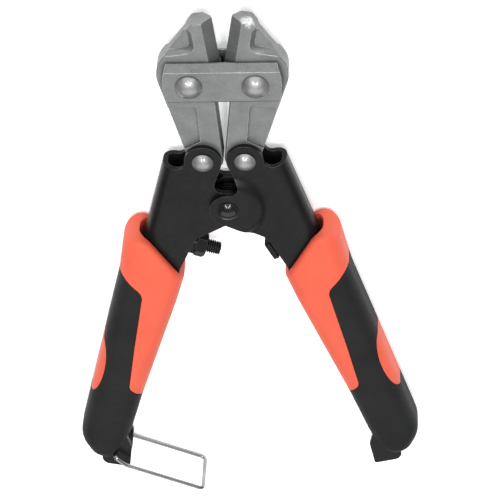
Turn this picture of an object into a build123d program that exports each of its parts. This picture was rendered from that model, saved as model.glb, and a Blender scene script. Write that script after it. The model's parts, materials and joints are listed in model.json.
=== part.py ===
from build123d import *

import os
from math import asin, atan, atan2, cos, degrees, hypot, radians, sin, sqrt

# Eight-inch compound bolt cutters, lying flat with the jaws part open.
# The drawing frame has X across the tool, Y towards the jaws and Z square to the plates,
# with the two link rivets on the X axis and the middle of the jaws at Z = 0.
# The left half is drawn and the right half is its mirror image, apart from what differs.
# The linkage lets the handles lean to one side, so the two jaws lie open by different angles.

# Linkage: two jaws hung on a pair of link plates and driven by two crossed arms
link_rivet_spacing = 21.8
jaw_lever = 32.5  # link rivet to jaw pin, along the tool
jaw_pin_offset = 0.8  # jaw pin outside its link rivet with the jaws shut
crank = 21.1  # jaw pin to main pivot
crank_angle = 32.8  # the same line in the handle's drawing, from the Y axis
left_jaw_open = 6.0  # each jaw from shut, as the tool lies
right_jaw_open = 10.2

# Heights across the tool
jaw_thickness = 7.0
link_plate_thickness = 3.0
sheet = 1.7  # pressed steel of the arms
plate_play = 0.1  # jaw to link plate
arm_play = 0.15  # jaw to arm
ear_play = 0.1  # between the crossed ears at the pivot

# Fits of the round joints, on the radius
running_fit = 0.05
tight_fit = 0.02
open_pivot_fit = 0.25  # the fourth pivot of the linkage, which closes the loop

# Jaws
jaw_reach = 22.3  # link rivet to tip
jaw_tip_width = 6.5
jaw_shoulder = (-9.5, 7.8)
jaw_waist = (-10.6, 2.5)
jaw_tail_radius = 5.9
jaw_tail_shift = 1.0  # middle of the tail's end, inside the jaw pin
jaw_heel = 1.0  # lowest point of the flat that meets the other jaw
jaw_throat = (7.4, -7.5)
jaw_edge_gap = 0.05  # cutting edge to the middle of the tool with the jaws shut
jaw_edge_land = 0.15
jaw_bevel_width = 3.35
jaw_bevel_end = 4.0
jaw_pocket_depth = 1.9
jaw_pocket_draft = 40
jaw_pocket_round = 3.2
jaw_pocket_wall = 6.95  # cutting edge to the pocket
jaw_pocket_ledge = 3.1  # link plate to the pocket
jaw_pocket_drop = 3.25  # tip to the pocket's upper corner
jaw_pocket_lean = 36  # slant of the pocket's upper side
tail_recess_depth = 0.9
tail_recess_drop = 2.2  # link plate to the recess
tail_recess_rise = 1.2  # recess to the arm's ear
tail_rib_width = 6.8  # raised rib along the inner edge
tail_rib_slant = 1.1
tail_foot_slope = 0.4
jaw_break = 0.4  # broken outer edges

# Link plates
link_plate_margin = 7.3  # rivet to the plate's corner
link_plate_length = link_rivet_spacing + 2 * link_plate_margin
link_plate_bow = 1.4  # rounded ends, beyond the corners
link_plate_width = 15.6
link_plate_bevel = 2.15
link_plate_land = 0.6  # square edge under the bevel

# Rivets
link_rivet_shaft = 6.0
link_rivet_head = 8.8
link_rivet_height = 2.4
jaw_pin_shaft = 5.0
jaw_pin_head = 7.2
jaw_pin_height = 2.0
pivot_shaft = 5.0
pivot_head = 7.3
pivot_height = 1.7
rivet_rim = 0.4

# Arms, drawn from the main pivot
web_top = (-24.6, 13.0)  # upper outer corner of the channel
web_lean = 3.3
web_bend = 4.3
arm_ear_radius = 6.3
arm_notch_round = 2.5  # between the jaw pin's ear and the end of the channel
pivot_ear_radius = 6.4
joggle_inner = 9.4  # one of the two pivot ears is raised over the other arm inside this radius
joggle_outer = 15.0
arm_neck = 7.2  # inner edge, level with the pivot
arm_neck_round = 3.0
arm_crotch = (-9.0, -16.4)
arm_crotch_round = 5.0
arm_waist = (-12.7, -33.5)
foot_length = 134.4  # pivot to the end of the arm
arm_shank = (-20.6, 34.4 - foot_length)
arm_flare = (-22.4, 20.4 - foot_length)
foot_toe = (-17.4, 10.4 - foot_length)
foot_inner = 16.7
foot_heel = 27.8
foot_heel_height = 6.5
foot_heel_round = 3.4
foot_toe_round = 1.0

# Stop lugs and screw
left_lug_face = 8.4
right_lug_face = 7.0
left_lug_lean = 7  # from the handle's Y axis
right_lug_lean = 11.5
left_lug_round = 3.0  # corners of the lug's free end
right_lug_round = 0.8
left_lug_drop = 0.0  # middle of the lug below the screw's height
right_lug_drop = 2.5
lug_length = 7.8
lug_bend = 2.4
stop_height = 22.2  # pivot to the screw at the lug's face
stop_screw_diameter = 5.0
stop_screw_reach = 9.4  # past the lug's face
stop_screw_tail = 4.0  # behind the lug's face
stop_screw_point = 0.8
nut_across_flats = 8.0
nut_thickness = 4.0
nut_corner = 0.7

# Bush and return spring round the pivot
bush_diameter = 8.0
bush_play = 0.05
spring_wire = 0.9
spring_radius = 5.0
spring_pitch = 1.45
spring_full_turns = 2
spring_seat = 12.0  # pivot to where a leg bears on the arm
seat_play = 0.3

# Grips
grip_round = 6.2
grip_collar = 0.6  # swell of the collar past the neck
grip_outer_neck = (-33.0, -40.0)
grip_heel = (-37.4, 12.4 - foot_length)
grip_ball = (-31.4, 4.4 - foot_length)
grip_sole = (-25.0, 3.1 - foot_length)
grip_toe = (-19.7, 7.1 - foot_length)
grip_inner_neck = (-11.0, -46.0)
grip_inner_waist = (-17.1, 37.4 - foot_length)
grip_heel_round = 13.0
grip_end_round = 6.9  # no tighter than the rounding of the edges
grip_mouth_outer = (-32.0, -11.5)
grip_mouth_inner = (-10.0, -34.6)
grip_mouth_round = 6.0  # the mouth's upper corner
grip_lip_round = 2.0
grip_tail_inner = (-19.4, 18.1 - foot_length)
grip_tail_outer = (-28.6, 0.9 - foot_length)
mouth_gap = 2.0  # round the channel's outer side
mouth_lift = 1.0  # over the channel's flat sides
mouth_depth = 9.0
cover_thickness = 2.0
cover_groove = 0.25
cover_play = 0.05
cavity_play = 0.1
cover_start = (-33.5, -35.2)
cover_shoulder = (-23.9, -42.9)
cover_side = (-23.4, -70.0)
cover_heel = (-22.7, 44.6 - foot_length)
cover_tail_drop = 20.0
window_centre = (-36.9, 51.0 - foot_length)
window_width = 4.6
window_length = 14.8

# Latch bail on the left handle
bail_wire = 1.5
bail_hinge = (-23.2, 6.8 - foot_length)
bail_half_width = 8.2
bail_knee = (4.5, -3.3)
bail_leg = 31.6
bail_leg_angle = 12.6  # below the X axis of the handle
bail_bend = 1.6
bail_stub = 0.4  # past the inner face of the channel


def turned(point, angle):
    c, s = cos(radians(angle)), sin(radians(angle))
    return (point[0] * c - point[1] * s, point[0] * s + point[1] * c)


def added(a, b):
    return (a[0] + b[0], a[1] + b[1])


def tangent_point(outside, centre, radius, side):
    """Where the tangent from a point meets a circle, on its left (1) or right (-1)."""
    dx, dy = centre[0] - outside[0], centre[1] - outside[1]
    reach = hypot(dx, dy)
    along = atan2(dy, dx) + side * asin(radius / reach)
    length = sqrt(reach**2 - radius**2)
    return (outside[0] + length * cos(along), outside[1] + length * sin(along))


def on_line(a, b, x):
    return (x, a[1] + (b[1] - a[1]) * (x - a[0]) / (b[0] - a[0]))


def mirrored(shape):
    return mirror(shape, about=Plane.YZ)


def both_faces(shape):
    return shape + mirror(shape, about=Plane.XY)


# Places that follow from the sizes above
link_half = link_rivet_spacing / 2
half_jaw = jaw_thickness / 2
plate_in = half_jaw + plate_play
plate_out = plate_in + link_plate_thickness
half_height = plate_out + link_rivet_height
arm_in = half_jaw + arm_play
arm_out = arm_in + sheet
ear_rise = sheet + ear_play
high_ear_out = arm_out + ear_rise
tail_hole = (-jaw_pin_offset, -jaw_lever)
left_pin = added((-link_half, 0), turned(tail_hole, left_jaw_open))
right_pin = added((-link_half, 0), turned(tail_hole, right_jaw_open))
right_pin = (-right_pin[0], right_pin[1])
pin_span = (right_pin[0] - left_pin[0], right_pin[1] - left_pin[1])
pivot_drop = sqrt(crank**2 / hypot(*pin_span) ** 2 - 0.25)
pivot_at = (
    left_pin[0] + pin_span[0] / 2 + pin_span[1] * pivot_drop,
    left_pin[1] + pin_span[1] / 2 - pin_span[0] * pivot_drop,
)
arm_pin = turned((0, crank), crank_angle)
left_splay = crank_angle - degrees(atan2(pivot_at[0] - left_pin[0], left_pin[1] - pivot_at[1]))
right_splay = crank_angle - degrees(atan2(right_pin[0] - pivot_at[0], right_pin[1] - pivot_at[1]))
shut_splay = crank_angle - degrees(asin((link_half + jaw_pin_offset) / crank))
clear = 2 * max(link_plate_length, half_height)  # well past whatever is being cut


def as_left_handle(shape):
    return Pos(*pivot_at) * Rot(0, 0, -left_splay) * shape


def as_right_handle(shape):
    return Pos(*pivot_at) * mirrored(Rot(0, 0, -right_splay) * shape)


def jaw(link_fit):
    """One jaw, shut, with its link rivet at the origin and the other jaw at +X."""
    edge = link_half - jaw_edge_gap
    corner = (edge - jaw_tip_width, jaw_reach)
    tail_end = added(tail_hole, (jaw_tail_shift, 0))
    outer = tangent_point(jaw_waist, tail_end, jaw_tail_radius, -1)
    inner = tangent_point(jaw_throat, tail_end, jaw_tail_radius, 1)
    points = [(edge, jaw_heel), (edge, jaw_reach), corner, jaw_shoulder]
    points += [jaw_waist, outer, inner, jaw_throat]
    plan = make_face(FilletPolyline(*points, radius=[0, 0.6, 2, 9, 9, 0, 0, 5], close=True))
    plan += Pos(*tail_end) * Circle(jaw_tail_radius)
    body = extrude(plan, half_jaw, both=True)
    body = chamfer(body.edges().filter_by(Plane.XY), jaw_break)

    bevel = Polyline(
        (edge, jaw_edge_land),
        (edge - jaw_bevel_width, half_jaw),
        (edge - jaw_bevel_width, clear),
        (edge + clear, clear),
        (edge + clear, jaw_edge_land),
        close=True,
    )
    bevel = extrude(Plane.XZ * make_face(bevel), -clear)
    body -= both_faces(Pos(0, jaw_bevel_end) * bevel)

    wall = edge - jaw_pocket_wall
    ledge = link_plate_width / 2 + jaw_pocket_ledge
    high = jaw_reach - jaw_pocket_drop
    lean = 2 * jaw_pocket_drop * sin(radians(jaw_pocket_lean)) / cos(radians(jaw_pocket_lean))
    rim = high + 2 * jaw_pocket_drop
    points = [(wall, high), (wall, ledge), (-clear, ledge), (-clear, rim), (wall - lean, rim)]
    pocket = make_face(FilletPolyline(*points, radius=[1.2, jaw_pocket_round, 0, 0, 0], close=True))
    pocket = Pos(0, 0, half_jaw) * extrude(pocket, -jaw_pocket_depth, taper=jaw_pocket_draft)
    body -= both_faces(pocket)

    side = jaw_throat[0] - tail_rib_width
    top = -link_plate_width / 2 - tail_recess_drop
    foot = arm_ear_radius + tail_recess_rise - jaw_lever
    points = [(side, top), (side - tail_rib_slant, foot)]
    points += [(-clear, foot - clear * tail_foot_slope), (-clear, top)]
    recess = make_face(FilletPolyline(*points, radius=[1.5, 0, 0, 0], close=True))
    recess = Pos(0, 0, half_jaw - tail_recess_depth) * extrude(recess, clear)
    body -= both_faces(recess)

    body -= Cylinder(link_rivet_shaft / 2 + link_fit, clear)
    body -= Pos(*tail_hole) * Cylinder(jaw_pin_shaft / 2 + running_fit, clear)
    return body


def link_plate():
    """The front link plate, in place."""
    half, wide = link_plate_length / 2, link_plate_width / 2
    ends = [
        Line((-half, wide), (half, wide)),
        ThreePointArc((half, wide), (half + link_plate_bow, 0), (half, -wide)),
        Line((half, -wide), (-half, -wide)),
        ThreePointArc((-half, -wide), (-half - link_plate_bow, 0), (-half, wide)),
    ]
    plan = extrude(make_face(ends), clear, both=True)
    flat = wide - link_plate_bevel
    step = plate_in + link_plate_land
    section = Polyline(
        (-wide, plate_in),
        (wide, plate_in),
        (wide, step),
        (flat, plate_out),
        (-flat, plate_out),
        (-wide, step),
        close=True,
    )
    plate = extrude(Plane.YZ * make_face(section), clear, both=True) & plan
    for side in (-1, 1):
        plate -= Pos(side * link_half, 0) * Cylinder(link_rivet_shaft / 2 + tight_fit, clear)
    return plate


def rivet(shaft, head, seat, height):
    """A rivet along Z with a domed head on each end, seated at plus and minus seat."""
    rise = height - rivet_rim
    half_arc = atan(2 * rise / head)
    ball = head / 2 / sin(2 * half_arc)
    top = seat + height
    crown = (ball * sin(half_arc), top - ball * (1 - cos(half_arc)))
    rim = (head / 2, seat + rivet_rim)
    profile = [
        Polyline((0, top), (0, 0), (shaft / 2, 0), (shaft / 2, seat), (head / 2, seat), rim),
        ThreePointArc(rim, crown, (0, top)),
    ]
    return both_faces(revolve(Plane.XZ * make_face(profile), Axis.Z))


def web_at(y):
    """X of the channel's outer face at a height of the handle."""
    return web_top[0] + (y - web_top[1]) * sin(radians(web_lean)) / cos(radians(web_lean))


def shank_points(margin):
    """The arm's outline below the pivot, as straight runs, its outer side moved out by a margin."""
    heel_top = foot_heel_height - foot_length
    return [
        (web_at(0) - margin, 0),
        (0, 0),
        arm_crotch,
        arm_waist,
        arm_shank,
        arm_flare,
        foot_toe,
        (-foot_inner, -foot_length),
        (-foot_heel, -foot_length),
        (-foot_heel, heel_top),
        (web_at(heel_top) - margin, heel_top),
    ]


def neck_round(top):
    """Fills the corner between the pivot ear and the neck, whose inner edge runs up to top."""
    foot = Vector(-arm_neck, 0)
    way = (Vector(*top) - foot).normalized()
    base = foot + Vector(way.Y, -way.X) * arm_neck_round
    span = pivot_ear_radius + arm_neck_round
    rise = sqrt(base.dot(way) ** 2 - base.dot(base) + span**2) - base.dot(way)
    centre = base + way * rise
    touch = centre * (pivot_ear_radius / span)
    corner = make_face(Polyline(foot, foot + way * rise, centre, touch, (0, 0), close=True))
    return corner - Pos(centre) * Circle(arm_neck_round)


def arm_outline():
    """The arm seen square to its plates, with the ears for the jaw pin and the main pivot."""
    margin = sheet
    rim = web_top[1]
    notch = (arm_pin[0] - sqrt(arm_ear_radius**2 - (arm_pin[1] - rim) ** 2), rim)
    neck = tangent_point((-arm_neck, 0), arm_pin, arm_ear_radius, -1)
    crotch = tangent_point(arm_crotch, (0, 0), pivot_ear_radius, -1)
    upper = [
        (web_at(0) - margin, 0),
        (web_at(rim) - margin, rim),
        (arm_pin[0], rim),
        arm_pin,
        neck,
        (-arm_neck, 0),
        (0, 0),
        crotch,
        arm_crotch,
    ]
    plan = make_face(Polyline(*upper, close=True))
    plan += make_face(Polyline(*shank_points(margin), close=True))
    plan += Pos(*arm_pin) * Circle(arm_ear_radius)
    plan += Circle(pivot_ear_radius)
    plan += neck_round(neck)
    rounds = (
        (notch, arm_notch_round),
        (arm_crotch, arm_crotch_round),
        ((-foot_heel, -foot_length), foot_heel_round),
        ((-foot_inner, -foot_length), foot_toe_round),
    )
    for corner, radius in rounds:
        plan = fillet(plan.vertices().sort_by_distance(Vector(*corner))[0], radius)
    return plan


def dished():
    """The front sheet near the pivot, raised so that the other arm's ear passes under it."""
    middle = (joggle_inner + joggle_outer) / 2
    lines = [
        Line((0, arm_in + ear_rise), (0, arm_out + ear_rise)),
        Line((joggle_outer, arm_in), (joggle_outer, arm_out)),
    ]
    for low in (arm_in, arm_out):
        high = low + ear_rise
        half_way = (middle, low + ear_rise / 2)
        lines.append(Line((0, high), (joggle_inner, high)))
        lines.append(TangentArc((joggle_inner, high), half_way, tangent=(1, 0)))
        lines.append(TangentArc((joggle_outer, low), half_way, tangent=(-1, 0)))
    return revolve(Plane.XZ * make_face(lines), Axis.Z)


def stop_lug(face, drop, lean, end_round):
    """A tongue of the back sheet, folded across the mouth of the channel."""
    root = arm_waist[0] - lug_bend + face
    top = arm_in - arm_play
    points = [(root, -arm_out), (0, -arm_out), (0, top), (-sheet, top), (-sheet, -arm_in), (root, -arm_in)]
    bends = [0, lug_bend, 0, 0, lug_bend - sheet, 0]
    section = make_face(FilletPolyline(*points, radius=bends, close=True))
    lug = Pos(0, lug_length / 2 - drop) * extrude(Plane.XZ * section, lug_length)
    lug = fillet(lug.edges().filter_by(Axis.X).group_by(Axis.Z)[-1], end_round)
    return Pos(-face, -stop_height) * Rot(0, 0, -lean) * lug


def along_web(section):
    """Draws a section out along the channel, its origin on the outer face of the web."""
    run = extrude(Plane.XZ * section, foot_length + 2 * clear)
    return Pos(*web_top) * Rot(0, 0, -web_lean) * Pos(0, clear) * run


def channel_face(outside, half, bend):
    """A section that is open towards the other arm, with two bends beside the web."""
    depth = -web_top[0] + pivot_ear_radius + joggle_outer
    points = [(depth, half), (-outside, half), (-outside, -half), (depth, -half)]
    return make_face(FilletPolyline(*points, radius=[0, bend, bend, 0], close=True))


def arm(lug, raised_side):
    """The left arm in its own drawing, a pressed channel that opens towards the other arm."""
    inner = Pos(sheet, 0) * channel_face(0, arm_in, web_bend - sheet)
    body = along_web(channel_face(0, arm_out, web_bend) - inner)
    body -= Cylinder(joggle_outer, clear, align=(Align.CENTER, Align.CENTER, Align.MIN))
    body += dished()
    body &= extrude(arm_outline(), clear, both=True)
    if raised_side == "back":
        body = mirror(body, about=Plane.XY)
    body += lug
    body -= Pos(*arm_pin) * Cylinder(jaw_pin_shaft / 2 + tight_fit, clear)
    body -= Cylinder(pivot_shaft / 2 + running_fit, clear)
    return body


def stop_axis(shape):
    """Sets a shape drawn along Z on the stop screw's axis, its origin on the lug's face."""
    return Pos(-left_lug_face, -stop_height) * Rot(0, 0, -left_lug_lean) * Rot(0, 90, 0) * shape


def stop_screw():
    length = stop_screw_tail + stop_screw_reach
    body = Cylinder(stop_screw_diameter / 2, length, align=(Align.CENTER, Align.CENTER, Align.MIN))
    body = chamfer(body.edges().filter_by(GeomType.CIRCLE), stop_screw_point)
    return stop_axis(Pos(0, 0, -stop_screw_tail) * body)


def stop_nut():
    hexagon = RegularPolygon(nut_across_flats / 2, 6, major_radius=False)
    body = extrude(hexagon, nut_thickness)
    corner = nut_across_flats / sqrt(3)
    turning = Cylinder(corner, nut_thickness, align=(Align.CENTER, Align.CENTER, Align.MIN))
    body &= chamfer(turning.edges().filter_by(GeomType.CIRCLE), nut_corner)
    body -= Cylinder(stop_screw_diameter / 2 + tight_fit, clear)
    return stop_axis(body)


def biarc(start, start_way, end, end_way):
    """Two arcs that leave start along start_way and reach end along end_way."""
    chord = end - start
    ways = start_way + end_way
    a = 2 * (1 - start_way.dot(end_way))
    b = 2 * chord.dot(ways)
    c = -chord.dot(chord)
    reach = (-b + sqrt(b * b - 4 * a * c)) / (2 * a)
    middle = (start + start_way * reach + end - end_way * reach) / 2
    first = Edge.make_tangent_arc(start, start_way, middle)
    return [first, Edge.make_tangent_arc(middle, first % 1, end)]


def return_spring():
    """A torsion spring round the bush, its legs bearing on the insides of the two channels."""
    seat_x = web_at(-spring_seat) + sheet + spring_wire / 2 + seat_play
    left = turned((seat_x, -spring_seat), -left_splay)
    right = turned((seat_x, -spring_seat), -right_splay)
    left_touch = tangent_point(left, (0, 0), spring_radius, -1)
    right_touch = tangent_point(right, (0, 0), spring_radius, -1)
    begin = degrees(atan2(left_touch[1], left_touch[0]))
    end = 180 - degrees(atan2(right_touch[1], right_touch[0]))
    sweep_angle = end - begin + 360 * spring_full_turns
    drop = spring_pitch * sweep_angle / 360
    quarters = round(sweep_angle / 90)

    def on_coil(step):
        angle = radians(begin + sweep_angle * step / quarters)
        slope = 0 if step in (0, quarters) else -drop / radians(sweep_angle) / spring_radius
        height = drop / 2 - drop * step / quarters
        place = Vector(spring_radius * cos(angle), spring_radius * sin(angle), height)
        return place, Vector(-sin(angle), cos(angle), slope).normalized()

    edges = [Edge.make_line(Vector(*left, drop / 2), on_coil(0)[0])]
    for step in range(quarters):
        edges += biarc(*on_coil(step), *on_coil(step + 1))
    edges.append(Edge.make_line(on_coil(quarters)[0], Vector(-right[0], right[1], -drop / 2)))
    path = Wire(edges)
    samples = [path @ (i / 600) for i in range(601)]
    apart = spring_radius * 1.5 / path.length * 600
    pairs = [(i, j) for i in range(601) for j in range(i) if i - j > apart]
    gap = min((samples[i] - samples[j]).length for i, j in pairs) - spring_wire
    print("return spring least gap to itself, mm:", round(gap, 2))
    section = Plane(origin=path @ 0, z_dir=path % 0) * Circle(spring_wire / 2)
    return Pos(*pivot_at) * sweep(section, path=path)


def grip_zone(mouth_drop, tail_drop):
    """The face between the collar's slanted mouth and the slanted tail, each moved down the handle."""
    far = 2 * grip_heel[0]
    side = grip_outer_neck[0] - grip_collar - cover_play
    inside = grip_inner_neck[0] / 2
    low = grip_mouth_outer[1] - 3 * mouth_depth
    mouth = [(far, low), (side, low)]
    mouth += [on_line(grip_mouth_outer, grip_mouth_inner, x) for x in (side, inside)]
    tail = [on_line(grip_tail_inner, grip_tail_outer, x) for x in (inside, far)]
    points = [(x, y - mouth_drop) for x, y in mouth] + [(x, y - tail_drop) for x, y in tail]
    return make_face(FilletPolyline(*points, radius=[0, 0, grip_mouth_round, 0, 0, 0], close=True))


def grip_form(inset, mouth_drop=0, tail_drop=0):
    """The grip's outer shape, or the same shape drawn in by an inset, with flat ends."""
    swell_out = (grip_outer_neck[0] - grip_collar, grip_mouth_outer[1] - mouth_depth)
    swell_in = (grip_inner_neck[0] + 2 * grip_collar, grip_mouth_inner[1] + mouth_depth / 2)
    top = grip_mouth_outer[1] + 3 * mouth_depth
    points = [
        (swell_out[0], top),
        swell_out,
        grip_outer_neck,
        grip_heel,
        grip_ball,
        grip_sole,
        grip_toe,
        grip_inner_waist,
        grip_inner_neck,
        swell_in,
        (swell_in[0], top),
    ]
    rounds = [0, 30, 60, grip_heel_round, *[grip_end_round] * 3, 60, 60, 30, 0]
    plan = make_face(FilletPolyline(*points, radius=rounds, close=True))
    if inset:
        plan = offset(plan, -inset, kind=Kind.INTERSECTION)
    body = extrude(plan, half_height - inset, both=True)
    body = fillet(body.edges().filter_by(Plane.XY), grip_round - inset)
    return body & extrude(grip_zone(mouth_drop, tail_drop), clear, both=True)


def rounded_lip(form):
    """Rounds the rim between the collar's outside and the faces of its mouth."""
    low = grip_mouth_outer[1] - 3 * mouth_depth
    mouth = [face for face in form.faces() if face.center().Y > low]
    mouth = [face for face in mouth if abs(face.normal_at().Z) < 0.001 and face.normal_at().Y > 0.3]
    edges = [edge for face in mouth for edge in face.edges()]
    rim = [edge for edge in edges if sum(edge.is_same(other) for other in edges) == 1]
    return fillet(rim, grip_lip_round)


def cover_zone(grow):
    """Where the dark overmould lies on the grip, with its outline moved out by a growth."""
    far = 2 * grip_heel[0]
    points = [
        (far, cover_start[1]),
        cover_start,
        cover_shoulder,
        cover_side,
        cover_heel,
        (0, cover_heel[1] - cover_tail_drop),
        (0, 2 * grip_heel[1]),
        (far, 2 * grip_heel[1]),
    ]
    plan = make_face(FilletPolyline(*points, radius=[0, 8, 5, 0, 3.5, 0, 0, 0], close=True))
    if grow:
        plan = offset(plan, grow, kind=Kind.INTERSECTION)
    lean = degrees(atan2(grip_outer_neck[0] - grip_heel[0], grip_outer_neck[1] - grip_heel[1]))
    window = Ellipse(window_width - grow, window_length - grow)
    plan -= Pos(*window_centre) * Rot(0, 0, -lean) * window
    return extrude(plan, clear, both=True)


def mouth_hollow():
    """The space between the arm and the collar's lip."""
    section = channel_face(mouth_gap, arm_out + mouth_lift, web_bend + mouth_lift)
    shank = make_face(Polyline(*shank_points(mouth_gap + cavity_play), close=True))
    shank = offset(shank, cavity_play, kind=Kind.INTERSECTION)
    hollow = along_web(section) & extrude(shank, clear, both=True)
    return hollow - extrude(grip_zone(mouth_depth, 0), clear, both=True)


def grip():
    """The bright core of a grip and the dark cover moulded over it."""
    form = rounded_lip(grip_form(0))
    cover = (form & cover_zone(0)) - grip_form(cover_thickness, tail_drop=cover_thickness)
    core = form - cover_zone(cover_groove) - mouth_hollow()
    core += grip_form(cover_thickness + cover_play, mouth_drop=mouth_depth)
    shank = make_face(Polyline(*shank_points(0), close=True))
    shank = offset(shank, cavity_play, kind=Kind.INTERSECTION)
    cavity = extrude(shank, arm_out + cavity_play, both=True)
    below = Box(4 * clear, clear, clear, align=(Align.CENTER, Align.MAX, Align.CENTER))
    core -= Pos(0, foot_heel_height - foot_length) * below
    return core - cavity, cover - cavity


def latch_bail():
    """A bent wire loop, hinged in the two walls of the left arm's end."""
    knee = added(bail_hinge, bail_knee)
    end = added(knee, turned((bail_leg, 0), -bail_leg_angle))
    inner = arm_in - bail_stub
    route = []
    for side in (1, -1):
        half = [(*bail_hinge, inner)]
        half += [(*place, bail_half_width) for place in (bail_hinge, knee, end)]
        half = [(x, y, side * z) for x, y, z in half]
        route += half if side == 1 else half[::-1]
    bends = [bail_bend, 3 * bail_bend, bail_bend, bail_bend, 3 * bail_bend, bail_bend]
    path = Wire(FilletPolyline(*route, radius=bends).edges())
    section = Plane(origin=path @ 0, z_dir=path % 0) * Circle(bail_wire / 2)
    return sweep(section, path=path)


core, cover = grip()
left_lug = stop_lug(left_lug_face, left_lug_drop, left_lug_lean, left_lug_round)
right_lug = stop_lug(right_lug_face, right_lug_drop, right_lug_lean, right_lug_round)
left_arm = arm(left_lug, "back")
left_arm -= stop_axis(Cylinder(stop_screw_diameter / 2 + tight_fit, 2 * (sheet + stop_screw_tail)))
left_arm -= Pos(*bail_hinge) * Cylinder(bail_wire / 2 + running_fit, clear)
right_arm = arm(right_lug, "front")
front_plate = link_plate()
link_rivet = rivet(link_rivet_shaft, link_rivet_head, plate_out, link_rivet_height)
jaw_pin = rivet(jaw_pin_shaft, jaw_pin_head, arm_out, jaw_pin_height)
pivot_rivet = rivet(pivot_shaft, pivot_head, high_ear_out + running_fit, pivot_height)
bush = Cylinder(bush_diameter / 2, 2 * (arm_in - bush_play))
bush -= Cylinder(pivot_shaft / 2 + running_fit, clear)

nodes = {
    "jaw_left": Pos(-link_half, 0) * Rot(0, 0, left_jaw_open) * jaw(running_fit),
    "jaw_right": mirrored(Pos(-link_half, 0) * Rot(0, 0, right_jaw_open) * jaw(open_pivot_fit)),
    "link_plate_front": front_plate,
    "link_plate_back": mirror(front_plate, about=Plane.XY),
    "link_rivet_left": Pos(-link_half, 0) * link_rivet,
    "link_rivet_right": Pos(link_half, 0) * link_rivet,
    "arm_left": as_left_handle(left_arm),
    "arm_right": as_right_handle(right_arm),
    "jaw_pin_left": Pos(*left_pin) * jaw_pin,
    "jaw_pin_right": Pos(*right_pin) * jaw_pin,
    "pivot_rivet": Pos(*pivot_at) * pivot_rivet,
    "pivot_bush": Pos(*pivot_at) * bush,
    "return_spring": return_spring(),
    "stop_screw": as_left_handle(stop_screw()),
    "stop_nut": as_left_handle(stop_nut()),
    "grip_core_left": as_left_handle(core),
    "grip_core_right": as_right_handle(core),
    "grip_cover_left": as_left_handle(cover),
    "grip_cover_right": as_right_handle(cover),
    "latch_bail": as_left_handle(latch_bail()),
}

# The tool is set down on Z = 0 with the middle of its footprint at the origin
box = Compound(children=[Compound(shape.solids()) for shape in nodes.values()]).bounding_box()
ground = Pos(-box.center().X, -box.center().Y, -box.min.Z)
os.makedirs("parts", exist_ok=True)
for name, shape in nodes.items():
    export_step(ground * Compound(shape.solids()), f"parts/{name}.step")

shift = ground.position
hinge = added(pivot_at, turned(bail_hinge, -left_splay))
places = {"pivot": pivot_at, "left_pin": left_pin, "right_pin": right_pin}
places |= {"link_rivet": (-link_half, 0), "bail": hinge}
for name, place in places.items():
    print(name, [round(place[0] + shift.X, 4), round(place[1] + shift.Y, 4), round(shift.Z, 4)])
print("splay", round(left_splay, 4), round(right_splay, 4), "shut", round(shut_splay, 4))
print("size", box.size)
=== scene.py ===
import bpy
import json
import math
from mathutils import Matrix, Vector


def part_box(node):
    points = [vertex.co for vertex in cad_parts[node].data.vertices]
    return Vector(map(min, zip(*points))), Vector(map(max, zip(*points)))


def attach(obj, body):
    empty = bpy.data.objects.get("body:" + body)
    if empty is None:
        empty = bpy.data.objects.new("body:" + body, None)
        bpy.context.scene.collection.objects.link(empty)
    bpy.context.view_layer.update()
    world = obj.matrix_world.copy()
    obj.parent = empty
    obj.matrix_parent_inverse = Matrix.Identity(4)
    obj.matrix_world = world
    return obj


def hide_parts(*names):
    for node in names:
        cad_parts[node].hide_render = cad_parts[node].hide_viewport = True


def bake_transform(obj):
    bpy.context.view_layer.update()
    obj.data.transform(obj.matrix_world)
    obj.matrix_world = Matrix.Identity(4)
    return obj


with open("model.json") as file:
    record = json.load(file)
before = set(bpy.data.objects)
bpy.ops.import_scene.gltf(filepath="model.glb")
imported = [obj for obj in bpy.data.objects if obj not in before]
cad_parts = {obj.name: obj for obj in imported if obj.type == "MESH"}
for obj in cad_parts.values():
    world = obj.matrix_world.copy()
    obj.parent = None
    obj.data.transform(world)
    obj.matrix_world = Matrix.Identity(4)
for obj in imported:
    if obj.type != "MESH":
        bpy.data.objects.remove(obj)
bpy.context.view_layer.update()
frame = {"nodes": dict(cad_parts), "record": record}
nodes = frame["nodes"]
print("frame loaded:", len(nodes), "CAD nodes")

mm = 0.001
white = (1, 1, 1, 1)
editorGrid = (200, 160)  # spacing of the nodes in the shader editor
full = (0.0, 1.0)
noiseSpan = (0.3, 0.7)  # where most of a noise lies


def clearSelection():
    if bpy.context.mode != "OBJECT":
        bpy.ops.object.mode_set(mode="OBJECT")
    bpy.ops.object.select_all(action="DESELECT")


def addNode(tree, kind, at, **settings):
    node = tree.nodes.new(kind)
    node.location = (at[0] * editorGrid[0], at[1] * editorGrid[1])
    for key, value in settings.items():
        setattr(node, key, value)
    return node


def join(tree, source, target):
    tree.links.new(source, target)


def feed(tree, socket, value):  # a number or colour sets the socket, anything else is linked to it
    if isinstance(value, tuple):
        socket.default_value = (*value, 1.0)
    elif isinstance(value, (int, float)):
        socket.default_value = value
    else:
        join(tree, value, socket)


def newGroup(name, settings, outputs):  # every group reads a place and some numbers
    group = bpy.data.node_groups.new(name, "ShaderNodeTree")
    group.interface.new_socket("Vector", in_out="INPUT", socket_type="NodeSocketVector")
    for label in settings:
        group.interface.new_socket(label, in_out="INPUT", socket_type="NodeSocketFloat")
    for label in outputs:
        group.interface.new_socket(label, in_out="OUTPUT", socket_type="NodeSocketFloat")
    start = addNode(group, "NodeGroupInput", (-6, 0))
    end = addNode(group, "NodeGroupOutput", (6, 0))
    return group, start.outputs, end.inputs


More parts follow.
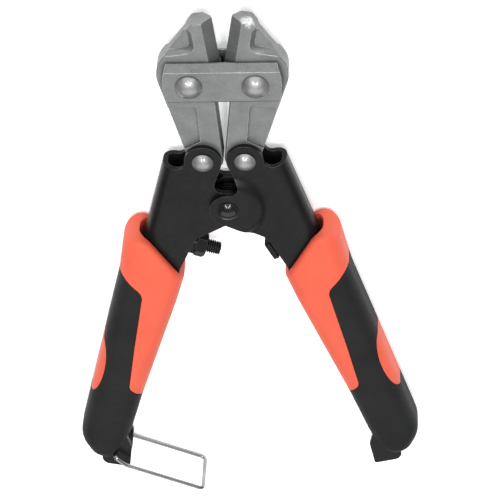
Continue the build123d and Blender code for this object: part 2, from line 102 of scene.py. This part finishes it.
def noiseNode(tree, at, vector, scale, detail=3.0, rough=0.5):
    noise = addNode(tree, "ShaderNodeTexNoise", at)
    noise.inputs["Detail"].default_value = detail
    noise.inputs["Roughness"].default_value = rough
    feed(tree, noise.inputs["Scale"], scale)
    join(tree, vector, noise.inputs["Vector"])
    return noise.outputs["Fac"]


def mathNode(tree, at, operation, first, second, clamp=False):
    node = addNode(tree, "ShaderNodeMath", at, operation=operation, use_clamp=clamp)
    feed(tree, node.inputs[0], first)
    feed(tree, node.inputs[1], second)
    return node.outputs[0]


def rangeNode(tree, at, value, span, result=full):
    node = addNode(tree, "ShaderNodeMapRange", at)
    feed(tree, node.inputs["Value"], value)
    for label, setting in zip(("From Min", "From Max", "To Min", "To Max"), (*span, *result)):
        feed(tree, node.inputs[label], setting)
    return node.outputs["Result"]


def mixColour(tree, at, factor, first, second):
    node = addNode(tree, "ShaderNodeMix", at, data_type="RGBA")
    feed(tree, node.inputs[0], factor)
    feed(tree, node.inputs[6], first)
    feed(tree, node.inputs[7], second)
    return node.outputs[2]


edgeWearAndHighlightLook = {
    "bend": (0.008, 0.07),  # how far the surface turns within the width
    "patches": (0.30, 0.55),
    "patchNoise": {"detail": 4.0, "rough": 0.6},
    "open": (0.75, 0.95),  # an inside corner gets neither the wear nor the painted highlight
    "samples": 6,
}


def makeEdgeWearAndHighlight(s):  # bright, broken line along sharp edges: partly wear, partly a painted highlight
    group, given, out = newGroup("edgeWearAndHighlight", ["Width", "Break"], ["Mask"])
    bevel = addNode(group, "ShaderNodeBevel", (-4, 1), samples=s["samples"])
    join(group, given["Width"], bevel.inputs["Radius"])
    geometry = addNode(group, "ShaderNodeNewGeometry", (-4, -1))
    dot = addNode(group, "ShaderNodeVectorMath", (-3, 0), operation="DOT_PRODUCT")
    join(group, bevel.outputs["Normal"], dot.inputs[0])
    join(group, geometry.outputs["True Normal"], dot.inputs[1])
    bent = mathNode(group, (-2, 0), "SUBTRACT", 1.0, dot.outputs["Value"])
    edge = rangeNode(group, (-1, 0), bent, s["bend"])
    patches = noiseNode(group, (-3, -3), given["Vector"], given["Break"], **s["patchNoise"])
    patches = rangeNode(group, (-1, -3), patches, s["patches"])
    corner = addNode(group, "ShaderNodeAmbientOcclusion", (-4, -5), samples=s["samples"])
    join(group, given["Width"], corner.inputs["Distance"])
    raised = rangeNode(group, (-2, -5), corner.outputs["AO"], s["open"])
    edge = mathNode(group, (0, -1), "MULTIPLY", edge, raised)
    join(group, mathNode(group, (1, 0), "MULTIPLY", edge, patches, True), out["Mask"])
    return group


grainLook = {
    "fineNoise": {"detail": 2.0, "rough": 0.55},
    "wideNoise": {"detail": 2.0, "rough": 0.5},
    "wideShare": 0.37,  # scale of the wider grain, of the fine one's
    "slowNoise": {"detail": 4.0, "rough": 0.55},
    "speck": (0.5, 0.72),
}


def makeGrain(s):  # fine grain over a slow mottle, for tone and bump
    group, given, out = newGroup("grain", ["Fine", "Slow"], ["Height", "Mottle", "Speck"])
    fine = noiseNode(group, (-3, 2), given["Vector"], given["Fine"], **s["fineNoise"])
    wideScale = mathNode(group, (-4, 0), "MULTIPLY", given["Fine"], s["wideShare"])
    wide = noiseNode(group, (-3, 0), given["Vector"], wideScale, **s["wideNoise"])
    both = mathNode(group, (-2, 1), "ADD", fine, wide)
    join(group, mathNode(group, (-1, 1), "MULTIPLY", both, 0.5), out["Height"])
    slow = noiseNode(group, (-3, -2), given["Vector"], given["Slow"], **s["slowNoise"])
    join(group, rangeNode(group, (-1, -2), slow, noiseSpan), out["Mottle"])
    join(group, rangeNode(group, (-1, -4), fine, s["speck"]), out["Speck"])
    return group


cornerShadeLook = {
    "corner": (0.9, 0.35),
    "patchScale": 500.0,
    "patchNoise": {"detail": 3.0, "rough": 0.6},
    "patches": (0.3, 0.6),
    "patchShare": (0.5, 1.0),
    "samples": 8,
}


def makeCornerShade(s):  # painted shade: darker in corners and round the rivets, broken into patches by noise
    group, given, out = newGroup("cornerShade", ["Reach"], ["Mask"])
    corner = addNode(group, "ShaderNodeAmbientOcclusion", (-4, 0), samples=s["samples"])
    join(group, given["Reach"], corner.inputs["Distance"])
    deepShade = rangeNode(group, (-2, 0), corner.outputs["AO"], s["corner"])
    patches = noiseNode(group, (-3, -2), given["Vector"], s["patchScale"], **s["patchNoise"])
    patches = rangeNode(group, (-1, -2), patches, s["patches"], s["patchShare"])
    join(group, mathNode(group, (1, 0), "MULTIPLY", deepShade, patches, True), out["Mask"])
    return group


edgeWearAndHighlight, grain, cornerShade = makeEdgeWearAndHighlight(edgeWearAndHighlightLook), makeGrain(grainLook), makeCornerShade(cornerShadeLook)
print("node groups made: edgeWearAndHighlight, grain, grime")


def newFinish(name, metallic, **fixed):
    material = bpy.data.materials.new(name)
    material.use_nodes = True
    tree = material.node_tree
    shader = tree.nodes["Principled BSDF"]
    shader.inputs["Metallic"].default_value = metallic
    for label, value in fixed.items():
        shader.inputs[label.replace("_", " ")].default_value = value
    coords = addNode(tree, "ShaderNodeTexCoord", (-9, 0))
    return material, tree, shader, coords.outputs["Object"]


def placeGroup(tree, group, at, vector, values):
    node = addNode(tree, "ShaderNodeGroup", at, node_tree=group)
    join(tree, vector, node.inputs["Vector"])
    for label, value in values.items():
        node.inputs[label].default_value = value
    return node.outputs


def tint(tree, at, mask, share, colour, over):  # lays a share of one colour over another by a mask
    factor = mathNode(tree, (at[0] - 2, at[1] - 1), "MULTIPLY", mask, share)
    return mixColour(tree, at, factor, over, colour)


def addBump(tree, shader, height, strength, depth, softEdge=0.0):
    bump = addNode(tree, "ShaderNodeBump", (-2, -4))
    bump.inputs["Strength"].default_value = strength
    bump.inputs["Distance"].default_value = depth
    join(tree, height, bump.inputs["Height"])
    if softEdge:  # rounds the look of the forged, pressed or moulded edges
        bevel = addNode(tree, "ShaderNodeBevel", (-4, -5), samples=6)
        bevel.inputs["Radius"].default_value = softEdge
        join(tree, bevel.outputs["Normal"], bump.inputs["Normal"])
    join(tree, bump.outputs["Normal"], shader.inputs["Normal"])


steel = {
    "metallic": 0.75,
    "dark": (0.146, 0.151, 0.149),
    "light": (0.199, 0.205, 0.203),
    "speck": (0.33, 0.34, 0.335),
    "speckShare": 0.6,
    # painted shade: a dark tone laid into the corners, the recesses and round the rivets
    "cornerShade": (0.03, 0.032, 0.031),
    "cornerShadeShare": 0.7,
    # edge colour: partly wear, partly a painted highlight along the edges
    "edge": (0.62, 0.63, 0.625),
    "edgeShare": 0.4,
    "bare": (0.80, 0.81, 0.80),
    "rub": (8.46 * mm, 106.8 * mm, 11.5 * mm),  # where the right jaw's tip is worn bright
    "rubReach": (3.4 * mm, 0.8 * mm),
    "rubScale": 900.0,
    "rubNoise": {"detail": 4.0, "rough": 0.6},
    "rubPatches": (0.38, 0.55),
    "rough": (0.46, 0.62),
    "rubbedSmooth": 0.2,
    "grain": {"Fine": 3600.0, "Slow": 160.0},
    "wearAndHighlight": {"Width": 0.5 * mm, "Break": 700.0},
    "corners": {"Reach": 1.8 * mm},
    "bump": {"strength": 0.5, "depth": 0.12 * mm, "softEdge": 0.3 * mm},
}


def makeBlastedSteel(s):
    material, tree, shader, place = newFinish("blastedSteel", s["metallic"])
    g = placeGroup(tree, grain, (-7, 2), place, s["grain"])
    wearAndHighlight = placeGroup(tree, edgeWearAndHighlight, (-7, 0), place, s["wearAndHighlight"])
    paintedShade = placeGroup(tree, cornerShade, (-7, -2), place, s["corners"])
    away = addNode(tree, "ShaderNodeVectorMath", (-7, 4), operation="DISTANCE")
    join(tree, place, away.inputs[0])
    away.inputs[1].default_value = s["rub"]
    near = rangeNode(tree, (-6, 4), away.outputs["Value"], s["rubReach"])
    patch = noiseNode(tree, (-7, 5), place, s["rubScale"], **s["rubNoise"])
    patch = rangeNode(tree, (-6, 5), patch, s["rubPatches"])
    bare = mathNode(tree, (-5, 4), "MULTIPLY", near, patch, True)
    colour = mixColour(tree, (-5, 2), g["Mottle"], s["dark"], s["light"])
    colour = tint(tree, (-4, 2), g["Speck"], s["speckShare"], s["speck"], colour)
    # painted shade in the corners and round the rivets
    colour = tint(tree, (-3, 2), paintedShade["Mask"], s["cornerShadeShare"], s["cornerShade"], colour)
    # worn edges and a painted highlight along them
    colour = tint(tree, (-2, 2), wearAndHighlight["Mask"], s["edgeShare"], s["edge"], colour)
    colour = mixColour(tree, (-1, 2), bare, colour, s["bare"])
    join(tree, colour, shader.inputs["Base Color"])
    rough = rangeNode(tree, (-3, 0), g["Height"], noiseSpan, s["rough"])
    rubbed = mathNode(tree, (-4, -1), "MAXIMUM", wearAndHighlight["Mask"], bare)
    smooth = mathNode(tree, (-3, -1), "MULTIPLY", rubbed, s["rubbedSmooth"])
    join(tree, mathNode(tree, (-2, 0), "SUBTRACT", rough, smooth), shader.inputs["Roughness"])
    addBump(tree, shader, g["Height"], **s["bump"])
    return material


rivets = {
    "fixed": {"metallic": 1.0, "Coat_Weight": 1.0, "Coat_Roughness": 0.06},
    "dark": (0.22, 0.223, 0.22),
    "light": (0.30, 0.304, 0.30),
    # painted shade: darker where the head meets the plate
    "cornerShade": (0.05, 0.05, 0.05),
    "cornerShadeShare": 0.85,
    "rough": (0.56, 0.48),
    "rings": {"Scale": 1500.0, "Distortion": 1.2, "Detail": 2.0},
    "ringShare": 0.35,
    "grain": {"Fine": 5200.0, "Slow": 420.0},
    "corners": {"Reach": 1.2 * mm},
    "bump": {"strength": 0.2, "depth": 0.03 * mm},
}


def makeRivetSteel(name, centre, s):  # turned rings about the rivet's own axis
    material, tree, shader, place = newFinish(name, **s["fixed"])
    mapping = addNode(tree, "ShaderNodeMapping", (-8, 1))
    mapping.inputs["Location"].default_value = (-centre[0], -centre[1], 0.0)
    join(tree, place, mapping.inputs["Vector"])
    rings = addNode(tree, "ShaderNodeTexWave", (-7, 3), wave_type="RINGS", rings_direction="Z")
    for label, value in s["rings"].items():
        rings.inputs[label].default_value = value
    join(tree, mapping.outputs["Vector"], rings.inputs["Vector"])
    g = placeGroup(tree, grain, (-7, 1), place, s["grain"])
    paintedShade = placeGroup(tree, cornerShade, (-7, -2), place, s["corners"])
    colour = mixColour(tree, (-4, 2), g["Mottle"], s["dark"], s["light"])
    # painted shade at the base of the head
    colour = tint(tree, (-3, 2), paintedShade["Mask"], s["cornerShadeShare"], s["cornerShade"], colour)
    join(tree, colour, shader.inputs["Base Color"])
    join(tree, rangeNode(tree, (-4, 0), g["Mottle"], full, s["rough"]), shader.inputs["Roughness"])
    turning = mathNode(tree, (-5, -3), "MULTIPLY", rings.outputs["Fac"], s["ringShare"])
    height = mathNode(tree, (-4, -3), "ADD", turning, g["Height"])
    addBump(tree, shader, height, **s["bump"])
    return material


coat = {
    "fixed": {"metallic": 0.0, "Coat_Roughness": 0.25, "Specular_IOR_Level": 0.085},
    "dark": (0.005, 0.0053, 0.0052),
    "light": (0.009, 0.0094, 0.0092),
    # edge colour: partly wear, partly a painted highlight along the edges
    "edge": (0.22, 0.22, 0.22),
    "edgeShare": 0.3,
    "rough": (0.30, 0.40),
    "gloss": (0.0, 0.12),
    "grain": {"Fine": 1500.0, "Slow": 90.0},
    "wearAndHighlight": {"Width": 0.35 * mm, "Break": 420.0},
    "bump": {"strength": 0.3, "depth": 0.10 * mm, "softEdge": 0.5 * mm},
}


def makeBlackCoat(s):  # powder coat over pressed sheet
    material, tree, shader, place = newFinish("blackCoat", **s["fixed"])
    g = placeGroup(tree, grain, (-7, 2), place, s["grain"])
    wearAndHighlight = placeGroup(tree, edgeWearAndHighlight, (-7, 0), place, s["wearAndHighlight"])
    colour = mixColour(tree, (-4, 2), g["Mottle"], s["dark"], s["light"])
    # worn edges and a painted highlight along them
    colour = tint(tree, (-3, 2), wearAndHighlight["Mask"], s["edgeShare"], s["edge"], colour)
    join(tree, colour, shader.inputs["Base Color"])
    join(tree, rangeNode(tree, (-4, 0), g["Mottle"], full, s["rough"]), shader.inputs["Roughness"])
    gloss = rangeNode(tree, (-4, -1), g["Height"], noiseSpan, s["gloss"])
    join(tree, gloss, shader.inputs["Coat Weight"])
    addBump(tree, shader, g["Height"], **s["bump"])
    return material


oxide = {
    "metallic": 0.35,
    "dark": (0.006, 0.006, 0.0063),
    "light": (0.013, 0.013, 0.0136),
    "edge": (0.14, 0.14, 0.14),
    "lacquerRough": 0.08,
    "grain": {"Fine": 4200.0, "Slow": 380.0},
    "wearAndHighlight": {"Width": 0.3 * mm, "Break": 900.0},
    "bump": {"strength": 0.3, "depth": 0.05 * mm},
    "dull": {"rough": (0.46, 0.60), "specular": 0.06, "lacquer": 0.0, "edgeShare": 0.6},
    "polished": {"rough": (0.18, 0.28), "specular": 0.2, "lacquer": 0.3, "edgeShare": 0.6},
    "sooty": {"rough": (0.72, 0.85), "specular": 0.06, "lacquer": 0.0, "edgeShare": 0.0},
}


def makeBlackOxide(name, s, look):
    material, tree, shader, place = newFinish(
        name,
        s["metallic"],
        Specular_IOR_Level=look["specular"],
        Coat_Weight=look["lacquer"],
        Coat_Roughness=s["lacquerRough"],
    )
    g = placeGroup(tree, grain, (-7, 2), place, s["grain"])
    wearAndHighlight = placeGroup(tree, edgeWearAndHighlight, (-7, 0), place, s["wearAndHighlight"])
    colour = mixColour(tree, (-4, 2), g["Mottle"], s["dark"], s["light"])
    colour = tint(tree, (-3, 2), wearAndHighlight["Mask"], look["edgeShare"], s["edge"], colour)
    join(tree, colour, shader.inputs["Base Color"])
    join(tree, rangeNode(tree, (-4, 0), g["Mottle"], full, look["rough"]), shader.inputs["Roughness"])
    addBump(tree, shader, g["Height"], **s["bump"])
    return material


wire = {
    "metallic": 1.0,
    "dark": (0.25, 0.25, 0.254),
    "light": (0.34, 0.34, 0.345),
    # painted shade where the wire runs close to other parts
    "cornerShade": (0.06, 0.06, 0.06),
    "cornerShadeShare": 0.6,
    "rough": (0.20, 0.13),
    "grain": {"Fine": 3800.0, "Slow": 300.0},
    "corners": {"Reach": 1.0 * mm},
    "bump": {"strength": 0.05, "depth": 0.02 * mm},
}


def makeWire(s):  # plated, drawn wire
    material, tree, shader, place = newFinish("platedWire", s["metallic"])
    g = placeGroup(tree, grain, (-7, 2), place, s["grain"])
    paintedShade = placeGroup(tree, cornerShade, (-7, -2), place, s["corners"])
    colour = mixColour(tree, (-4, 2), g["Mottle"], s["dark"], s["light"])
    # painted shade near other parts
    colour = tint(tree, (-3, 2), paintedShade["Mask"], s["cornerShadeShare"], s["cornerShade"], colour)
    join(tree, colour, shader.inputs["Base Color"])
    join(tree, rangeNode(tree, (-4, 0), g["Mottle"], full, s["rough"]), shader.inputs["Roughness"])
    addBump(tree, shader, g["Height"], **s["bump"])
    return material


gripSkin = {
    "grain": {"Fine": 2600.0, "Slow": 70.0},
    "wearAndHighlight": {"Width": 0.6 * mm, "Break": 300.0},
    "corners": {"Reach": 1.4 * mm},
    "rubShare": 0.35,
    # painted shade: a deeper tone laid into the grip's mouth and corners
    "deepShadeShare": 0.5,
    "bump": {"strength": 0.4, "depth": 0.12 * mm, "softEdge": 0.6 * mm},
}
orangeGrip = {
    "dark": (0.62, 0.085, 0.043),
    "light": (0.67, 0.099, 0.051),
    "rub": (0.72, 0.14, 0.08),
    # painted shade: deep red inside the mouth and along the lip by the arm
    "deepShade": (0.36, 0.016, 0.007),
    "rough": (0.50, 0.62),
    "specular": 0.3,
}
blackGrip = {
    "dark": (0.008, 0.0083, 0.0084),
    "light": (0.013, 0.0134, 0.0135),
    "rub": (0.045, 0.045, 0.045),
    # painted shade in the corners
    "deepShade": (0.003, 0.003, 0.003),
    "rough": (0.58, 0.74),
    "specular": 0.16,
}


def makeRubber(name, s, look):  # moulded grip with a spark-eroded skin
    material, tree, shader, place = newFinish(name, 0.0, Specular_IOR_Level=look["specular"])
    g = placeGroup(tree, grain, (-7, 2), place, s["grain"])
    wearAndHighlight = placeGroup(tree, edgeWearAndHighlight, (-7, 0), place, s["wearAndHighlight"])
    paintedShade = placeGroup(tree, cornerShade, (-7, -2), place, s["corners"])
    colour = mixColour(tree, (-5, 2), g["Mottle"], look["dark"], look["light"])
    colour = tint(tree, (-4, 2), wearAndHighlight["Mask"], s["rubShare"], look["rub"], colour)
    # painted shade in the mouth and corners
    colour = tint(tree, (-3, 2), paintedShade["Mask"], s["deepShadeShare"], look["deepShade"], colour)
    join(tree, colour, shader.inputs["Base Color"])
    rough = rangeNode(tree, (-4, 0), g["Height"], noiseSpan, look["rough"])
    join(tree, rough, shader.inputs["Roughness"])
    addBump(tree, shader, g["Height"], **s["bump"])
    return material


finishes = {
    "jaw_steel": makeBlastedSteel(steel),
    "black_coat": makeBlackCoat(coat),
    "black_oxide": makeBlackOxide("blackOxide", oxide, oxide["dull"]),
    "wire": makeWire(wire),
    "orange_grip": makeRubber("orangeGrip", gripSkin, orangeGrip),
    "black_grip": makeRubber("blackGrip", gripSkin, blackGrip),
}
slotOf = {entry["node"]: entry["material_slot"] for entry in frame["record"]["subparts"]}
for nodeName, node in nodes.items():
    slotName = slotOf[nodeName]
    if slotName == "rivet_steel":
        low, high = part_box(nodeName)
        finish = makeRivetSteel("rivetSteel." + nodeName, (low + high) / 2, rivets)
    elif nodeName == "pivot_rivet":
        finish = makeBlackOxide("polishedOxide", oxide, oxide["polished"])
    else:
        finish = finishes[slotName]
    for slot in node.material_slots:
        slot.material = finish
print("finishes set on", len(nodes), "nodes")


def windUp(piece, degrees, rise, rounds, steps):
    wind = piece.modifiers.new("wind", "SCREW")
    wind.angle, wind.screw_offset, wind.iterations = math.radians(degrees), rise, rounds
    wind.steps = wind.render_steps = steps
    bpy.ops.object.modifier_apply(modifier="wind")


def turnOutward():  # from edit mode
    bpy.ops.mesh.select_all(action="SELECT")
    bpy.ops.mesh.normals_make_consistent(inside=False)
    bpy.ops.object.mode_set(mode="OBJECT")


def settle():  # puts the object's place into its mesh
    bpy.ops.object.transform_apply(location=True, rotation=True, scale=True)


stopScrew = {
    "tilt": -18.9713,  # degrees from the X axis
    "length": 13.4 * mm,
    "crest": 2.48 * mm,
    "root": 2.02 * mm,
    "pitch": 0.8 * mm,
    "crestFlat": 0.12 * mm,
    "rootFlat": 0.16 * mm,
    "point": 0.8 * mm,
    "pointFacets": 24,
    "spareTurns": 4,  # cut off with the ends
    "steps": 40,
    "weld": 0.01 * mm,
    "smooth": 32,  # degrees
}


def extrudeVertex(across, along):
    bpy.ops.mesh.extrude_region_move(TRANSFORM_OT_translate={"value": (across, 0, along)})


def pointCuts(s):  # the two flat ends and the bevels round them
    cuts = []
    for end in (-1, 1):
        top = Vector((0, 0, end * s["length"] / 2))
        cuts.append((top, Vector((0, 0, end))))
        for facet in range(s["pointFacets"]):
            angle = 2 * math.pi * facet / s["pointFacets"]
            outward = Vector((math.cos(angle), math.sin(angle), 0))
            rim = outward * (s["crest"] - s["point"]) + top
            cuts.append((rim, (outward + Vector((0, 0, end))).normalized()))
    return cuts


def makeStopScrew(s):
    low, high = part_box("stop_screw")
    turns = math.ceil(s["length"] / s["pitch"]) + s["spareTurns"]
    flank = (s["pitch"] - s["crestFlat"] - s["rootFlat"]) / 2
    tooth = s["crest"] - s["root"]
    clearSelection()
    bpy.ops.mesh.primitive_plane_add(size=s["pitch"])
    screw = bpy.context.object
    screw.name = "stopScrewThread"
    bpy.ops.object.mode_set(mode="EDIT")
    bpy.ops.mesh.select_all(action="SELECT")
    bpy.ops.mesh.merge(type="CENTER")
    bpy.ops.transform.translate(value=(s["root"], 0, -turns * s["pitch"] / 2))
    extrudeVertex(0, s["rootFlat"])  # one pitch of the thread
    extrudeVertex(tooth, flank)
    extrudeVertex(0, s["crestFlat"])
    extrudeVertex(-tooth, flank)
    bpy.ops.object.mode_set(mode="OBJECT")
    windUp(screw, 360, s["pitch"], turns, s["steps"])
    bpy.ops.object.mode_set(mode="EDIT")
    bpy.ops.mesh.select_all(action="SELECT")
    bpy.ops.mesh.remove_doubles(threshold=s["weld"])
    for at, outward in pointCuts(s):
        bpy.ops.mesh.select_all(action="SELECT")
        bpy.ops.mesh.bisect(plane_co=at, plane_no=outward, use_fill=True, clear_outer=True)
    turnOutward()
    lay = Matrix.Rotation(math.radians(s["tilt"]), 4, "Z") @ Matrix.Rotation(math.pi / 2, 4, "Y")
    screw.matrix_world = Matrix.Translation((low + high) / 2) @ lay
    settle()
    bpy.ops.object.shade_smooth_by_angle(angle=math.radians(s["smooth"]))
    screw.data.materials.append(finishes["black_oxide"])
    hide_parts("stop_screw")
    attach(screw, "left_handle")
    return screw


thread = makeStopScrew(stopScrew)
print("stop screw cut:", len(thread.data.polygons), "faces")


returnSpring = {
    "pivot": (-2.1342 * mm, 31.0828 * mm, 9.0 * mm),
    "radius": 5.0 * mm,
    "wire": 0.9 * mm,
    "begin": -85.8998,  # degrees, where the left leg leaves the coil
    "sweep": 1074.0344,
    "drop": 4.326 * mm,
    "leftSeat": (-25.5675 * mm, -6.8456 * mm),  # from the pivot, where a leg bears on its arm
    "rightSeat": (25.815 * mm, -5.8434 * mm),
    "sides": 16,
    "steps": 180,
    "endReach": 0.54 * mm,  # finds the ring of corners at an end of the coil
    "endSlack": 0.009 * mm,
    "smooth": 40,  # degrees
}


def pullLeg(spring, s, degrees, height, seat):  # draws one end of the coil out to its seat
    turn = math.radians(degrees)
    touch = Vector((s["radius"] * math.cos(turn), s["radius"] * math.sin(turn), height))
    way = Vector((-math.sin(turn), math.cos(turn), 0))
    for corner in spring.data.vertices:
        off = corner.co - touch
        corner.select = off.length < s["endReach"] and abs(off.dot(way)) < s["endSlack"]
    bpy.ops.object.mode_set(mode="EDIT")
    leg = Vector((*seat, height)) - touch
    bpy.ops.mesh.extrude_region_move(TRANSFORM_OT_translate={"value": leg})
    bpy.ops.mesh.edge_face_add()
    bpy.ops.mesh.select_all(action="DESELECT")
    bpy.ops.object.mode_set(mode="OBJECT")


def makeReturnSpring(s):
    top = s["drop"] / 2
    clearSelection()
    bpy.ops.mesh.primitive_circle_add(vertices=s["sides"], radius=s["wire"] / 2)
    spring = bpy.context.object
    spring.name = "returnSpringCoil"
    stand = Matrix.Translation((s["radius"], 0, top)) @ Matrix.Rotation(math.pi / 2, 4, "X")
    spring.matrix_world = Matrix.Rotation(math.radians(s["begin"]), 4, "Z") @ stand
    settle()
    windUp(spring, s["sweep"], -s["drop"], 1, s["steps"])
    bpy.ops.object.mode_set(mode="EDIT")
    bpy.ops.mesh.select_mode(type="VERT")
    bpy.ops.mesh.select_all(action="DESELECT")
    bpy.ops.object.mode_set(mode="OBJECT")
    pullLeg(spring, s, s["begin"], top, s["leftSeat"])
    pullLeg(spring, s, s["begin"] + s["sweep"], -top, s["rightSeat"])
    bpy.ops.object.mode_set(mode="EDIT")
    turnOutward()
    spring.location = s["pivot"]
    settle()
    bpy.ops.object.shade_smooth_by_angle(angle=math.radians(s["smooth"]))
    spring.data.materials.append(makeBlackOxide("springOxide", oxide, oxide["sooty"]))
    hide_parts("return_spring")
    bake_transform(spring)
    return spring


coil = makeReturnSpring(returnSpring)
print("return spring wound:", len(coil.data.polygons), "faces")


studio = {
    "floor": 6.0,
    "floorDrop": 0.2 * mm,  # keeps it from cutting into the faces that rest on it
    "floorColour": ((0.93, 0.93, 0.93), (0.96, 0.96, 0.96)),
    "floorMottle": 3.0,
    "floorRough": 0.9,
    "floorSpecular": 0.1,
    "floorGlow": 0.35,  # a lit table, which keeps the shadows pale
    "world": 0.35,
    "lights": [  # place, width, length, watts
        ((-0.20, 0.36, 0.98), 0.10, 0.43, 4.8),  # two strips, which show as bars on the rivet heads
        ((0.20, 0.36, 0.98), 0.10, 0.43, 4.8),
        ((0.0, -0.95, 1.10), 2.2, 1.0, 11.0),  # fill from the handles' side
        ((0.0, 0.95, 0.62), 1.6, 0.8, 5.0),  # fill from the jaws' side
    ],
}


def makeFloor(s):
    clearSelection()
    bpy.ops.mesh.primitive_plane_add(size=s["floor"], location=(0, 0, -s["floorDrop"]))
    floor = bpy.context.object
    floor.name = "studioFloor"
    material, tree, shader, place = newFinish(
        "paleFloor",
        0.0,
        Specular_IOR_Level=s["floorSpecular"],
        Roughness=s["floorRough"],
        Emission_Color=white,
        Emission_Strength=s["floorGlow"],
    )
    tone = noiseNode(tree, (-4, 0), place, s["floorMottle"])
    join(tree, mixColour(tree, (-2, 0), tone, *s["floorColour"]), shader.inputs["Base Color"])
    floor.data.materials.append(material)


def addStrip(name, place, width, length, watts):
    light = bpy.data.lights.new(name, "AREA")
    light.shape, light.size, light.size_y, light.energy = "RECTANGLE", width, length, watts
    lamp = bpy.data.objects.new(name, light)
    bpy.context.scene.collection.objects.link(lamp)
    lamp.rotation_mode = "QUATERNION"
    lamp.location, lamp.rotation_quaternion = place, Vector(place).to_track_quat("Z", "Y")


makeFloor(studio)
for index, strip in enumerate(studio["lights"]):
    addStrip("strip" + str(index), *strip)
world = bpy.data.worlds.new("studioWorld")
world.use_nodes = True
sky = world.node_tree.nodes["Background"].inputs
sky["Color"].default_value, sky["Strength"].default_value = white, studio["world"]
bpy.context.scene.world = world
bpy.context.scene.view_settings.view_transform = "Standard"
print("studio lit")


view = {  # the photograph's camera
    "right": (0.99805, -0.04587, -0.04235),
    "up": (0.00697, 0.75586, -0.65469),
    "back": (0.06204, 0.65312, 0.75471),
    "place": (0.05056, 0.49668, 0.57443),
    "sensor": 36.0,
    "lens": 153.81,
}
camera = bpy.data.objects.new("camera", bpy.data.cameras.new("camera"))
bpy.context.scene.collection.objects.link(camera)
turn = Matrix((view["right"], view["up"], view["back"])).transposed()
camera.matrix_world = Matrix.Translation(view["place"]) @ turn.to_4x4()
camera.data.sensor_width, camera.data.lens = view["sensor"], view["lens"]
bpy.context.scene.camera = camera
print("camera set")
